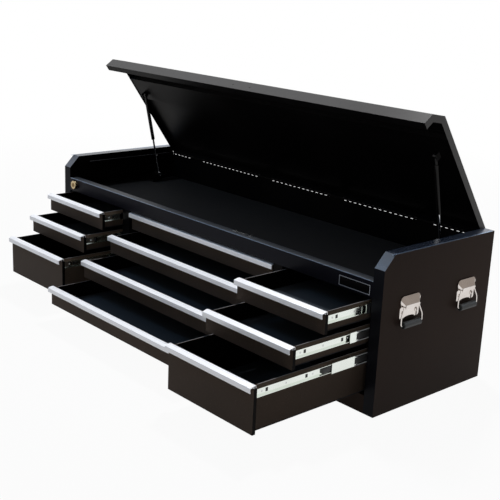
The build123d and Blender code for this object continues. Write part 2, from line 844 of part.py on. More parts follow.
def make_handle_plates():
    panel = width / 2
    face = panel + plate_thickness
    lip_out = panel + handle_pivot_out + barrel_radius
    hood_mid = handle_pivot_z + hood_top - hood_side / 2
    lip_mid = handle_pivot_z + hood_lip_top - hood_lip / 2
    notch_mid = handle_pivot_z + (plate_notch_top - plate_notch_bottom) / 2
    plate_edge = (plate_width - plate_notch) / 2
    with BuildPart() as handle_plates:
        for place in handle_places:
            # The hood slopes from the plate down to the barrel that holds the bail.
            for shrink, mode in ((0, Mode.ADD), (hood_wall, Mode.SUBTRACT)):
                fall = 4 * shrink
                with BuildSketch(Plane.YZ.offset(face)) as back:
                    with Locations((place, hood_mid - shrink / 2 - fall / 2)):
                        RectangleRounded(
                            hood_width - 2 * shrink,
                            hood_side - shrink + fall,
                            hood_corner - shrink,
                        )
                with BuildSketch(Plane.YZ.offset(lip_out - shrink)) as front:
                    with Locations((place, lip_mid - shrink / 2 - fall / 2)):
                        RectangleRounded(
                            hood_lip_width - 2 * shrink,
                            hood_lip - shrink + fall,
                            sheet,
                        )
                loft([back.sketch, front.sketch], ruled=True, mode=mode)
            for side in (-1, 1):
                reach = sorted((place + side * barrel_width / 2, place + side * leg_slot_reach))
                slab(
                    (panel + handle_pivot_out - leg_slot_depth, lip_out + sheet),
                    tuple(reach),
                    (handle_pivot_z - hood_side, handle_pivot_z + leg_slot_rise),
                    mode=Mode.SUBTRACT,
                )
            with BuildSketch(Plane.YZ.offset(panel)):
                with Locations((place, handle_pivot_z + (plate_top - plate_bottom) / 2)):
                    RectangleRounded(plate_width, plate_top + plate_bottom, plate_corner)
                with Locations((place, handle_pivot_z - plate_bottom)):
                    Ellipse(plate_arch_width / 2, plate_arch, mode=Mode.SUBTRACT)
                with Locations((place - plate_edge, notch_mid), (place + plate_edge, notch_mid)):
                    Rectangle(plate_notch, plate_notch_top + plate_notch_bottom, mode=Mode.SUBTRACT)
            extrude(amount=plate_thickness)
            rod(
                barrel_radius,
                (panel + handle_pivot_out, place - barrel_width / 2, handle_pivot_z),
                (panel + handle_pivot_out, place + barrel_width / 2, handle_pivot_z),
            )
            for side in (-1, 1):
                screw = (place + side * screw_spread, handle_pivot_z - screw_drop)
                rod(screw_head_radius, (face, *screw), (face + screw_head_height, *screw))
            rod(
                bail_rod_radius + bail_clearance,
                (panel + handle_pivot_out, place - plate_width, handle_pivot_z),
                (panel + handle_pivot_out, place + plate_width, handle_pivot_z),
                mode=Mode.SUBTRACT,
            )
        mirror(about=Plane.YZ)
    write("handle_plates", handle_plates.part)


def make_bail(name, side, place):
    # A round bar bent into a loop, with a soft grip along its lower run.
    pivot_x = side * (width / 2 + handle_pivot_out)
    trunnion = bail_pivot_half - bail_trunnion
    mid_x = pivot_x + side * bail_bow
    low_x = pivot_x + side * bail_out
    mid_z = handle_pivot_z - bail_shoulder_drop
    low_z = handle_pivot_z - bail_drop
    with BuildPart() as bail:
        with BuildLine():
            FilletPolyline(
                (pivot_x, place - trunnion, handle_pivot_z),
                (pivot_x, place - bail_pivot_half, handle_pivot_z),
                (mid_x, place - bail_half_width, mid_z),
                (low_x, place - bail_half_width, low_z),
                (low_x, place + bail_half_width, low_z),
                (mid_x, place + bail_half_width, mid_z),
                (pivot_x, place + bail_pivot_half, handle_pivot_z),
                (pivot_x, place + trunnion, handle_pivot_z),
                radius=2 * [bail_bend, bail_shoulder_bend, bail_bend],
            )
        with BuildSketch(Plane(origin=(pivot_x, place - trunnion, handle_pivot_z), z_dir=(0, -1, 0))):
            Circle(bail_rod_radius)
        sweep()
    with BuildPart() as grip:
        rod(grip_radius, (low_x, place - grip_length / 2, low_z), (low_x, place + grip_length / 2, low_z))
        fillet(grip.edges(), grip_edge)
        rod(
            bail_rod_radius + grip_clearance,
            (low_x, place - grip_length, low_z),
            (low_x, place + grip_length, low_z),
            mode=Mode.SUBTRACT,
        )
    write(name, Compound(children=[bail.part, grip.part]))


# Lock

def make_lock():
    bezel_face = front_y - lock_bezel_reach
    with BuildPart() as lock_housing:
        rod(lock_bezel_radius, (lock_x, bezel_face, lock_z), (lock_x, front_y, lock_z))
        fillet(lock_housing.edges().group_by(Axis.Y)[0], sheet)
        rod(
            lock_body_radius - slide_gap,
            (lock_x, front_y, lock_z),
            (lock_x, front_y + lock_body_length, lock_z),
        )
        rod(
            lock_core_radius + lock_core_clearance,
            (lock_x, bezel_face - sheet, lock_z),
            (lock_x, front_y + lock_body_length + sheet, lock_z),
            mode=Mode.SUBTRACT,
        )
    write("lock_housing", lock_housing.part)
    tail = front_y + lock_body_length + lock_core_clearance
    with BuildPart() as lock_core:
        rod(lock_core_radius, (lock_x, bezel_face - sheet, lock_z), (lock_x, tail, lock_z))
        slab(
            (lock_x - lock_key_width / 2, lock_x + lock_key_width / 2),
            (bezel_face - sheet, bezel_face - sheet + lock_key_depth),
            (lock_z - lock_key_height / 2, lock_z + lock_key_height / 2),
            mode=Mode.SUBTRACT,
        )
        slab(
            (lock_x - lock_cam_width / 2, lock_x + lock_cam_width / 2),
            (tail, tail + lock_cam_thickness),
            (lock_z - lock_cam_length, lock_z + lock_core_radius),
        )
    write("lock_core", lock_core.part)


make_side_panels()
make_base_pan()
make_back_panel()
make_front_rail()
make_column_walls()
make_compartment_floor()
make_compartment_mat()
make_cabinet_slides()
make_all_drawers()
make_lid_shell()
make_hinge_leaf("body_hinge_leaves", -1)
make_hinge_leaf("lid_hinge_leaves", 1)
make_strut_tubes()
make_strut_rods()
make_handle_plates()
for side_name, side in (("left", -1), ("right", 1)):
    for end_name, place in zip(("front", "rear"), handle_places):
        make_bail(f"bail_{side_name}_{end_name}", side, place)
make_lock()
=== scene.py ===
import bpy
import bmesh
import json
import math
from mathutils import Matrix, Vector


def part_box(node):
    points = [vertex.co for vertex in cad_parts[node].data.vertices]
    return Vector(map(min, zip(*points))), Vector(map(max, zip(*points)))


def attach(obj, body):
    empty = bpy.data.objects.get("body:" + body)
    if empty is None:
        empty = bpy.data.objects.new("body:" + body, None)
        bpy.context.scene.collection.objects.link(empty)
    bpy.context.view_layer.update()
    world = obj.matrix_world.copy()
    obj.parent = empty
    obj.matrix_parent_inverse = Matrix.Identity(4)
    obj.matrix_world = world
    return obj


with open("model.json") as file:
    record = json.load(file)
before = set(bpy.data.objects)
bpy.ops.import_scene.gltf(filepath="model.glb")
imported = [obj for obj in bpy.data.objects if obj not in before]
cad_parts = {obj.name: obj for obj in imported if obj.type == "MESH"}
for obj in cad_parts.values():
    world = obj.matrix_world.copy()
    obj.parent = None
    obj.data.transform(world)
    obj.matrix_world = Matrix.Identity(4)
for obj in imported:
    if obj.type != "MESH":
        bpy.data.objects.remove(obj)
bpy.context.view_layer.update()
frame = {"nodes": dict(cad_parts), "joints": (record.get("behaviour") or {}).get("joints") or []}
nodes = frame["nodes"]
joints = {joint["name"]: joint for joint in frame["joints"]}
scene = bpy.context.scene
scene.view_settings.view_transform = "Standard"
print("frame loaded,", len(nodes), "nodes")

mm = 0.001
drawerNames = [name[len("pull_"):] for name in sorted(nodes) if name.startswith("pull_")]


# shader helpers

def newMaterial(name):
    material = bpy.data.materials.new(name)
    material.use_nodes = True
    tree = material.node_tree
    shader = tree.nodes["Principled BSDF"]
    coords = tree.nodes.new("ShaderNodeTexCoord")
    return material, tree, shader, coords.outputs["Object"]


def newGroup(name, inputs, outputs):
    group = bpy.data.node_groups.new(name, "ShaderNodeTree")
    for label, kind, value in inputs:
        socket = group.interface.new_socket(label, in_out="INPUT", socket_type=kind)
        if value is not None:
            socket.default_value = value
    for label, kind in outputs:
        group.interface.new_socket(label, in_out="OUTPUT", socket_type=kind)
    start = group.nodes.new("NodeGroupInput")
    end = group.nodes.new("NodeGroupOutput")
    return group, start.outputs, end.inputs


def feed(tree, socket, value):
    # a number, a colour or the output of another node
    if isinstance(value, (int, float)):
        socket.default_value = value
    elif isinstance(value, tuple):
        socket.default_value = (*value, 1.0)
    else:
        tree.links.new(value, socket)


def useGroup(tree, group, coords, **values):
    node = tree.nodes.new("ShaderNodeGroup")
    node.node_tree = group
    tree.links.new(coords, node.inputs["Coordinates"])
    for label, value in values.items():
        node.inputs[label].default_value = value
    return node.outputs


def mathNode(tree, operation, first, second=None):
    node = tree.nodes.new("ShaderNodeMath")
    node.operation = operation
    for socket, value in zip(node.inputs, (first, second)):
        if value is not None:
            feed(tree, socket, value)
    return node.outputs[0]


def mixColour(tree, factor, first, second):
    node = tree.nodes.new("ShaderNodeMix")
    node.data_type = "RGBA"
    for number, value in ((0, factor), (6, first), (7, second)):    # the colour sockets of the node
        feed(tree, node.inputs[number], value)
    return node.outputs[2]


def mapRange(tree, value, low, high, start=0.0, end=1.0):
    node = tree.nodes.new("ShaderNodeMapRange")
    tree.links.new(value, node.inputs[0])
    for socket, number in zip(node.inputs[1:5], (low, high, start, end)):
        socket.default_value = number
    return node.outputs[0]


def noiseNode(tree, coords, scale, detail):
    node = tree.nodes.new("ShaderNodeTexNoise")
    tree.links.new(coords, node.inputs["Vector"])
    feed(tree, node.inputs["Scale"], scale)
    node.inputs["Detail"].default_value = detail
    return node.outputs[0]


def bumpNode(tree, height, strength, distance):
    node = tree.nodes.new("ShaderNodeBump")
    feed(tree, node.inputs["Strength"], strength)
    feed(tree, node.inputs["Distance"], distance)
    tree.links.new(height, node.inputs["Height"])
    return node.outputs[0]


# effects that several finishes share

powderLook = {"grainDetail": 3.0, "cloudScale": 2.3, "cloudDetail": 4.0, "speckScale": 260.0,
              "speckDetail": 1.0, "speck": (0.66, 0.72), "bump": 0.0006}


def makePowderTexture():
    # fine orange peel of a baked coat, and slow cloudiness in its gloss
    group, given, made = newGroup(
        "powderTexture",
        [("Coordinates", "NodeSocketVector", None), ("Grain", "NodeSocketFloat", 900.0),
         ("Depth", "NodeSocketFloat", 0.15)],
        [("Normal", "NodeSocketVector"), ("Cloud", "NodeSocketFloat"), ("Speck", "NodeSocketFloat")],
    )
    grain = noiseNode(group, given["Coordinates"], given["Grain"], powderLook["grainDetail"])
    cloud = noiseNode(group, given["Coordinates"], powderLook["cloudScale"], powderLook["cloudDetail"])
    speck = noiseNode(group, given["Coordinates"], powderLook["speckScale"], powderLook["speckDetail"])
    group.links.new(bumpNode(group, grain, given["Depth"], powderLook["bump"]), made["Normal"])
    group.links.new(cloud, made["Cloud"])
    group.links.new(mapRange(group, speck, *powderLook["speck"]), made["Speck"])
    return group


drawnLook = {"lineScale": 1.0, "lineDetail": 4.0, "stainScale": 14.0, "stainDetail": 5.0, "bump": 0.0004}


def makeDrawnLines():
    # fine lines left along the length of drawn or rolled metal
    group, given, made = newGroup(
        "drawnLines",
        [("Coordinates", "NodeSocketVector", None), ("Stretch", "NodeSocketVector", (2.0, 300.0, 300.0)),
         ("Depth", "NodeSocketFloat", 0.1)],
        [("Normal", "NodeSocketVector"), ("Line", "NodeSocketFloat"), ("Stain", "NodeSocketFloat")],
    )
    mapping = group.nodes.new("ShaderNodeMapping")
    group.links.new(given["Coordinates"], mapping.inputs[0])
    group.links.new(given["Stretch"], mapping.inputs["Scale"])
    line = noiseNode(group, mapping.outputs[0], drawnLook["lineScale"], drawnLook["lineDetail"])
    stain = noiseNode(group, given["Coordinates"], drawnLook["stainScale"], drawnLook["stainDetail"])
    group.links.new(bumpNode(group, line, given["Depth"], drawnLook["bump"]), made["Normal"])
    group.links.new(line, made["Line"])
    group.links.new(stain, made["Stain"])
    return group


powderTexture = makePowderTexture()
drawnLines = makeDrawnLines()


# finishes

# Each paint below is a copy of one black powder coat, made lighter or darker, warmer or bluer for the light on
# its faces: painted light and shade.
# The body and drawer copies carry a painted warm bounce, the rail and flange copies painted shade, the
# rail-top and upward-face copies painted light, the edge copy a painted highlight, and the inner copy painted
# shade over the coat's own near-black.
paintLook = {
    "bodyWarmLitPaint": {"dark": (0.044, 0.0285, 0.023), "light": (0.06, 0.0405, 0.0325),
                  "rough": (0.34, 0.44), "specular": 0.035, "tint": (1.0, 0.8, 0.66), "grain": 900.0,
                  "depth": 0.12},
    "upFaceSkyLitPaint": {"dark": (0.053, 0.062, 0.087), "light": (0.068, 0.08, 0.112),
                  "rough": (0.22, 0.32), "specular": 0.6, "tint": (0.86, 0.94, 1.0), "grain": 900.0,
                  "depth": 0.1},
    "railShadedPaint": {"dark": (0.0075, 0.007, 0.0105), "light": (0.011, 0.0102, 0.015),
                  "rough": (0.3, 0.4), "specular": 0.06, "tint": (0.86, 0.9, 1.0), "grain": 900.0,
                  "depth": 0.12},
    "flangeShadedPaint": {"dark": (0.0085, 0.0085, 0.011), "light": (0.0125, 0.0125, 0.016),
                    "rough": (0.34, 0.44), "specular": 0.04, "tint": (0.9, 0.94, 1.0), "grain": 900.0,
                    "depth": 0.1},
    "edgeHighlightPaint": {"dark": (0.16, 0.215, 0.31), "light": (0.21, 0.285, 0.4),
                  "rough": (0.3, 0.4), "specular": 0.5, "tint": (1.0, 1.0, 1.0), "grain": 900.0,
                  "depth": 0.08},
    "railTopLitPaint": {"dark": (0.046, 0.05, 0.057), "light": (0.059, 0.064, 0.073),
                     "rough": (0.45, 0.55), "specular": 0.3, "tint": (1.0, 1.0, 1.0), "grain": 900.0,
                     "depth": 0.12},
    "lidPaint": {"dark": (0.027, 0.026, 0.026), "light": (0.037, 0.036, 0.036),
                 "rough": (0.32, 0.42), "specular": 0.3, "tint": (1.0, 0.95, 0.92), "grain": 900.0,
                 "depth": 0.12},
    "drawerWarmLitPaint": {"dark": (0.086, 0.062, 0.047), "light": (0.112, 0.081, 0.063),
                    "rough": (0.34, 0.44), "specular": 0.03, "tint": (1.0, 0.82, 0.68), "grain": 1000.0,
                    "depth": 0.1},
    "innerBlackAndShadePaint": {"dark": (0.0032, 0.0029, 0.003), "light": (0.0055, 0.0049, 0.005),
                   "rough": (0.32, 0.42), "specular": 0.03, "tint": (1.0, 0.85, 0.75), "grain": 900.0,
                   "depth": 0.12},
}
paintVary = {"cloud": (0.35, 0.65), "speckShare": 0.2, "speckBright": 2.5}


def makePaint(name):
    look = paintLook[name]
    material, tree, shader, coords = newMaterial(name)
    texture = useGroup(tree, powderTexture, coords, Grain=look["grain"], Depth=look["depth"])
    cloud = mapRange(tree, texture["Cloud"], *paintVary["cloud"])
    colour = mixColour(tree, cloud, look["dark"], look["light"])
    speck = mathNode(tree, "MULTIPLY", texture["Speck"], paintVary["speckShare"])
    colour = mixColour(tree, speck, colour, tuple(paintVary["speckBright"] * value for value in look["light"]))
    tree.links.new(colour, shader.inputs["Base Color"])
    tree.links.new(mapRange(tree, cloud, 0.0, 1.0, *look["rough"]), shader.inputs["Roughness"])
    tree.links.new(texture["Normal"], shader.inputs["Normal"])
    shader.inputs["Specular IOR Level"].default_value = look["specular"]
    shader.inputs["Specular Tint"].default_value = (*look["tint"], 1.0)
    return material


lineRange = (0.3, 0.7)    # the part of a noise that the roughness follows
pullLook = {"metal": (0.92, 0.92, 0.94), "shade": (0.84, 0.84, 0.87), "rough": (0.36, 0.48), "metallic": 0.4,
            "stretch": (3.0, 500.0, 500.0), "depth": 0.08, "ridgeScale": 150.0, "ridgeDepth": 0.00012,
            "ridgeStrength": 0.8, "ridgeFacing": 0.6}


def makePullMetal():
    # anodised extrusion with fine ridges along its front lip
    material, tree, shader, coords = newMaterial("pullMetal")
    lines = useGroup(tree, drawnLines, coords, Stretch=pullLook["stretch"], Depth=pullLook["depth"])
    colour = mixColour(tree, lines["Stain"], pullLook["shade"], pullLook["metal"])
    tree.links.new(colour, shader.inputs["Base Color"])
    tree.links.new(mapRange(tree, lines["Line"], *lineRange, *pullLook["rough"]), shader.inputs["Roughness"])
    wave = tree.nodes.new("ShaderNodeTexWave")
    wave.bands_direction = "Z"
    wave.inputs["Scale"].default_value = pullLook["ridgeScale"]
    tree.links.new(coords, wave.inputs["Vector"])
    geometry = tree.nodes.new("ShaderNodeNewGeometry")
    facing = tree.nodes.new("ShaderNodeSeparateXYZ")
    tree.links.new(geometry.outputs["Normal"], facing.inputs[0])
    front = mathNode(tree, "GREATER_THAN", mathNode(tree, "ABSOLUTE", facing.outputs["Y"]),
                     pullLook["ridgeFacing"])
    ridge = mathNode(tree, "MULTIPLY", wave.outputs["Fac"], front)
    bump = bumpNode(tree, ridge, pullLook["ridgeStrength"], pullLook["ridgeDepth"])
    tree.links.new(lines["Normal"], bump.node.inputs["Normal"])
    tree.links.new(bump, shader.inputs["Normal"])
    shader.inputs["Metallic"].default_value = pullLook["metallic"]
    return material


metalLook = {
    "slideZinc": {"bright": (0.84, 0.88, 0.84), "dull": (0.74, 0.78, 0.72), "rough": (0.1, 0.18),
                  "stretch": (300.0, 3.0, 300.0), "depth": 0.03},
    "handleNickel": {"bright": (0.78, 0.74, 0.71), "dull": (0.6, 0.54, 0.5), "rough": (0.08, 0.2),
                     "stretch": (60.0, 60.0, 60.0), "depth": 0.03},
    "handleShade": {"bright": (0.3, 0.25, 0.215), "dull": (0.22, 0.18, 0.155), "rough": (0.2, 0.32),
                    "stretch": (60.0, 60.0, 60.0), "depth": 0.03},
    "rodChrome": {"bright": (0.85, 0.86, 0.88), "dull": (0.7, 0.71, 0.73), "rough": (0.08, 0.16),
                  "stretch": (80.0, 80.0, 80.0), "depth": 0.02},
    "lockBrass": {"bright": (0.56, 0.45, 0.27), "dull": (0.34, 0.26, 0.14), "rough": (0.16, 0.3),
                  "stretch": (200.0, 200.0, 200.0), "depth": 0.05},
    "collarSteel": {"bright": (0.32, 0.32, 0.33), "dull": (0.22, 0.22, 0.23), "rough": (0.35, 0.5),
                    "stretch": (200.0, 200.0, 200.0), "depth": 0.05},
    "coreBrass": {"bright": (0.3, 0.2, 0.08), "dull": (0.14, 0.09, 0.04), "rough": (0.2, 0.35),
                  "stretch": (200.0, 200.0, 200.0), "depth": 0.05},
    "screwSteel": {"bright": (0.75, 0.76, 0.77), "dull": (0.5, 0.5, 0.5), "rough": (0.2, 0.4),
                   "stretch": (200.0, 200.0, 200.0), "depth": 0.05},
}


def makeMetal(name):
    look = metalLook[name]
    material, tree, shader, coords = newMaterial(name)
    lines = useGroup(tree, drawnLines, coords, Stretch=look["stretch"], Depth=look["depth"])
    tree.links.new(mixColour(tree, lines["Stain"], look["dull"], look["bright"]), shader.inputs["Base Color"])
    tree.links.new(mapRange(tree, lines["Line"], *lineRange, *look["rough"]), shader.inputs["Roughness"])
    tree.links.new(lines["Normal"], shader.inputs["Normal"])
    shader.inputs["Metallic"].default_value = 1.0
    return material


softLook = {
    "matRubber": {"dark": (0.0145, 0.0142, 0.0146), "light": (0.0225, 0.022, 0.0227), "rough": 0.75,
                  "cell": 150.0, "bump": 0.0008, "specular": 0.06},
    "linerFoam": {"dark": (0.04, 0.047, 0.056), "light": (0.054, 0.063, 0.074), "rough": 0.85,
                  "cell": 260.0, "bump": 0.0005, "specular": 0.05},
    "gripRubber": {"dark": (0.009, 0.01, 0.011), "light": (0.016, 0.018, 0.019), "rough": 0.45,
                   "cell": 700.0, "bump": 0.0003, "specular": 0.4},
    "blackPlasticAndShade": {"dark": (0.01, 0.01, 0.01), "light": (0.02, 0.02, 0.02), "rough": 0.4,
                     "cell": 900.0, "bump": 0.0001, "specular": 0.4},
    "badgeSilver": {"dark": (0.8, 0.78, 0.8), "light": (0.9, 0.88, 0.9), "rough": 0.35,
                    "cell": 900.0, "bump": 0.00005, "specular": 0.5},
    "zincAndHighlightWhite": {"dark": (0.74, 0.75, 0.76), "light": (0.84, 0.85, 0.86), "rough": 0.3,
                  "cell": 900.0, "bump": 0.00005, "specular": 0.5},
    "hemHighlightGrey": {"dark": (0.2, 0.205, 0.22), "light": (0.27, 0.275, 0.295), "rough": 0.4,
                "cell": 900.0, "bump": 0.00005, "specular": 0.4},
}
softVary = {"grain": 1600.0, "depth": 0.1, "cellStrength": 0.6, "rough": 0.06}


def makeSoft(name):
    # rubbers, foams and plastics with a small cell pattern
    look = softLook[name]
    material, tree, shader, coords = newMaterial(name)
    cells = tree.nodes.new("ShaderNodeTexVoronoi")
    cells.feature = "SMOOTH_F1"
    cells.inputs["Scale"].default_value = look["cell"]
    tree.links.new(coords, cells.inputs["Vector"])
    texture = useGroup(tree, powderTexture, coords, Grain=softVary["grain"], Depth=softVary["depth"])
    tree.links.new(mixColour(tree, texture["Cloud"], look["dark"], look["light"]), shader.inputs["Base Color"])
    bump = bumpNode(tree, cells.outputs["Distance"], softVary["cellStrength"], look["bump"])
    tree.links.new(texture["Normal"], bump.node.inputs["Normal"])
    tree.links.new(bump, shader.inputs["Normal"])
    rough = mapRange(tree, texture["Cloud"], *lineRange, look["rough"] - softVary["rough"],
                     look["rough"] + softVary["rough"])
    tree.links.new(rough, shader.inputs["Roughness"])
    shader.inputs["Specular IOR Level"].default_value = look["specular"]
    return material


finish = {name: makePaint(name) for name in paintLook}
finish.update({name: makeMetal(name) for name in metalLook})
finish.update({name: makeSoft(name) for name in softLook})
finish["pullMetal"] = makePullMetal()

strutCoat = {"Coat Weight": 0.3, "Coat Roughness": 0.12}
strutPaint = finish["strutPaint"] = finish["innerBlackAndShadePaint"].copy()
strutPaint.name = "strutPaint"
for label, value in strutCoat.items():
    strutPaint.node_tree.nodes["Principled BSDF"].inputs[label].default_value = value
print("finishes made,", len(finish))


# finishes on the imported pieces

# parts of the black coat take its copies: the warm-lit copy on the body, the shaded copy on the rail, and the
# near-black copy as painted shade inside the compartment and on the black hinge leaves
nodeFinish = {
    "side_panels": "bodyWarmLitPaint", "base_pan": "bodyWarmLitPaint", "back_panel": "bodyWarmLitPaint",
    "front_rail": "railShadedPaint", "column_walls": "innerBlackAndShadePaint", "compartment_floor": "innerBlackAndShadePaint",
    "compartment_mat": "matRubber", "cabinet_slides": "slideZinc", "lid_shell": "lidPaint",
    "body_hinge_leaves": "innerBlackAndShadePaint", "lid_hinge_leaves": "innerBlackAndShadePaint", "strut_tubes": "strutPaint",
    "strut_rods": "rodChrome", "handle_plates": "handleNickel", "lock_housing": "lockBrass",
    "lock_core": "coreBrass",
}
# drawers take the warm-lit copy of the coat: a painted warm bounce
kindFinish = {"drawer_": "drawerWarmLitPaint", "pull_": "pullMetal", "runners_": "slideZinc",
              "sliders_": "slideZinc", "bail_": "handleNickel"}


# limits on face normals that pick where the lit and shaded copies of the coat go
sheetSide = {"inside": 0.004, "frontEdge": 0.9, "frontDeep": 0.014, "panelInner": -0.3, "fold": 0.3,
             "flange": -0.85, "backInner": -0.5, "railTop": 0.7, "lidInner": 0.9}
lidAngle = math.radians(54.4)    # how far the lid stands open
lidInner = Vector((0.0, -math.sin(lidAngle), -math.cos(lidAngle)))


def dressPart(node, name, test):
    # another finish on the faces whose centre and normal pass the test
    mesh = nodes[node].data
    mesh.materials.append(finish[name])
    number = len(mesh.materials) - 1
    for face in mesh.polygons:
        if test(face.center, face.normal):
            face.material_index = number


def dressInsideShade(node):
    # the faces of a tray or shell that look towards its middle take the near-black copy of the coat: painted
    # shade
    low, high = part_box(node)
    middle = (low + high) / 2
    dressPart(node, "innerBlackAndShadePaint", lambda c, n: (middle - c).dot(n) > sheetSide["inside"])


for node in nodes:
    look = nodeFinish.get(node)
    if look is None:
        look = next(value for start, value in kindFinish.items() if node.startswith(start))
    nodes[node].data.materials.clear()
    nodes[node].data.materials.append(finish[look])

for node in nodes:
    if node.startswith("drawer_"):
        dressInsideShade(node)
        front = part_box(node)[0].y
        # the side edges of each drawer front also take the near-black copy: painted shade
        dressPart(node, "innerBlackAndShadePaint", lambda c, n, y=front: (
            abs(n.x) > sheetSide["frontEdge"] and c.y < y + sheetSide["frontDeep"]))
dressInsideShade("lid_shell")
# painted light by face direction: painted shade on the panels' inner faces, the flanges' fronts, the back
# panel's inside and the lid's inside; a bluish painted highlight on the panels' upward faces; painted light on
# the rail's top
dressPart("side_panels", "innerBlackAndShadePaint", lambda c, n: c.x * n.x < sheetSide["panelInner"])
dressPart("side_panels", "upFaceSkyLitPaint", lambda c, n: n.z > sheetSide["fold"])
dressPart("side_panels", "flangeShadedPaint", lambda c, n: n.y < sheetSide["flange"])
dressPart("back_panel", "innerBlackAndShadePaint", lambda c, n: n.y < sheetSide["backInner"])
dressPart("front_rail", "railTopLitPaint", lambda c, n: n.z > sheetSide["railTop"])
dressPart("lid_shell", "innerBlackAndShadePaint", lambda c, n: n.dot(lidInner) > sheetSide["lidInner"])

leverZone = {"front": 272.0, "rear": 312.0, "half": 8.0, "skin": 0.4, "deep": 5.5}
for name in drawerNames:
    low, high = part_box("runners_" + name)
    zone = {key: value * mm for key, value in leverZone.items()}
    dressPart("runners_" + name, "blackPlasticAndShade", lambda c, n, l=low, h=high, z=zone: (
        l.y + z["front"] - z["skin"] < c.y < l.y + z["rear"] and abs(c.z - (l.z + h.z) / 2) < z["half"]
        and min(c.x - l.x, h.x - c.x) < z["deep"]))

gripSize = {"half": 42.1 * mm, "radius": 11.0 * mm, "reach": 2.05}
for node in nodes:
    if node.startswith("bail_"):
        low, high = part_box(node)
        middle = (low + high) / 2
        dressPart(node, "gripRubber", lambda c, n, m=middle, l=low: (
            abs(c.y - m.y) < gripSize["half"] and c.z < l.z + gripSize["reach"] * gripSize["radius"]))

# sloping face of the handles' hoods, with the rim above it, in a darker brown copy of the nickel: painted
# shade
hoodZone = {"face": 0.9173, "lip": 0.9278, "low": 0.3555, "tilt": 0.14, "rim": 0.9195, "rimLow": 0.376}
dressPart("handle_plates", "handleShade", lambda c, n: c.z > hoodZone["low"] and (
    (n.z > hoodZone["tilt"] and hoodZone["face"] < abs(c.x) < hoodZone["lip"])
    or (c.z > hoodZone["rimLow"] and hoodZone["face"] < abs(c.x) < hoodZone["rim"])))

# two small pads on top of the rail
padZone = {"thick": 1.6 * mm, "left": 0.1, "right": 0.3, "front": -0.2531, "rear": -0.2412}
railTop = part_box("front_rail")[1].z
dressPart("front_rail", "screwSteel", lambda c, n: (
    c.z > railTop - padZone["thick"] and padZone["left"] < c.x < padZone["right"]
    and padZone["front"] < c.y < padZone["rear"]))

# bare end fitting and collar ahead of each strut's black tube
strutReach = {"collarSteel": 38.2 * mm, "zincAndHighlightWhite": 31.0 * mm}
strutEye = Vector((0.0, *joints["strut_pivot"]["pos_m"][1:]))
for look, reach in strutReach.items():
    dressPart("strut_tubes", look, lambda c, n, r=reach: (Vector((0, c.y, c.z)) - strutEye).length < r)

# folded sheet has a small outer radius that catches the light
foldRadius = {"side_panels": 1.6, "lid_shell": 0.7, "front_rail": 0.6, "base_pan": 0.6,
              "handle_plates": 0.5}
foldLook = {"segments": 2, "angle": 40.0}
for node, radius in foldRadius.items():
    bevel = nodes[node].modifiers.new("fold", "BEVEL")
    bevel.width = radius * mm
    bevel.segments = foldLook["segments"]
    bevel.limit_method = "ANGLE"
    bevel.angle_limit = math.radians(foldLook["angle"])
    bevel.harden_normals = False
print("packed pieces dressed")


# new pieces

sharpAngle = math.radians(35)


def addPiece(name, bm, body, look, smooth=True):
    mesh = bpy.data.meshes.new(name)
    bm.to_mesh(mesh)
    bm.free()
    piece = bpy.data.objects.new(name, mesh)
    scene.collection.objects.link(piece)
    mesh.materials.append(finish[look])
    if smooth:
        for face in mesh.polygons:
            face.use_smooth = True
        mesh.set_sharp_from_angle(angle=sharpAngle)
    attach(piece, body)


def addSlab(bm, low, high, radius=0.0, segments=2):
    # a box with rounded edges
    made = bmesh.ops.create_cube(bm, size=1.0)
    size = Vector(high) - Vector(low)
    middle = (Vector(high) + Vector(low)) / 2
    for vertex in made["verts"]:
        vertex.co = Vector(a * b for a, b in zip(vertex.co, size)) + middle
    if radius:
        edges = list({edge for vertex in made["verts"] for edge in vertex.link_edges})
        bmesh.ops.bevel(bm, geom=edges, offset=radius, segments=segments, affect="EDGES", profile=0.5)


domeLook = {"rings": 4, "top": 0.92}


def addDome(bm, centre, axis, radius, height, sides=20):
    # a low rivet or screw head
    axis = Vector(axis).normalized()
    across = axis.orthogonal().normalized()
    other = axis.cross(across)
    rings = []
    for step in range(domeLook["rings"]):
        turn = step / (domeLook["rings"] - 1) * math.pi / 2
        reach, rise = radius * math.cos(turn * domeLook["top"]), height * math.sin(turn)
        rings.append([bm.verts.new(Vector(centre) + axis * rise + reach * (
            across * math.cos(2 * math.pi * i / sides) + other * math.sin(2 * math.pi * i / sides)))
            for i in range(sides)])
    for lower, upper in zip(rings, rings[1:]):
        for i in range(sides):
            bm.faces.new((lower[i], lower[(i + 1) % sides], upper[(i + 1) % sides], upper[i]))
    bm.faces.new(rings[-1])


linerSize = {"thick": 1.6, "sideGap": 5.0, "endGap": 7.0, "corner": 0.6, "wall": 1.5, "floor": 6.2,
             "front": 4.0}


def makeLiners():
    # thin mat on the floor of each tray
    side = (linerSize["wall"] + linerSize["sideGap"]) * mm
    for name in drawerNames:
        low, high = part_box("drawer_" + name)
        runLow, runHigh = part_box("runners_" + name)
        floor = low.z + linerSize["floor"] * mm
        bm = bmesh.new()
        addSlab(bm, (runLow.x + side, low.y + linerSize["endGap"] * mm + linerSize["front"] * mm, floor),
                (runHigh.x - side, high.y - linerSize["endGap"] * mm, floor + linerSize["thick"] * mm),
                linerSize["corner"] * mm)
        addPiece("liner_" + name, bm, "drawer_" + name, "linerFoam")


webInset = 6.7    # from the outside of a runner to its web
leverSize = {"start": 267.0, "length": 42.0, "height": 17.0, "proud": 6.4, "corner": 0.6}
slotShadeSize = {"places": (43.0, 204.0, 365.0), "length": 9.5, "height": 11.5, "thick": 0.25}
rivetSize = {"radius": 3.2, "height": 1.0, "places": (24.0, 120.0, 230.0, 330.0, 430.0)}


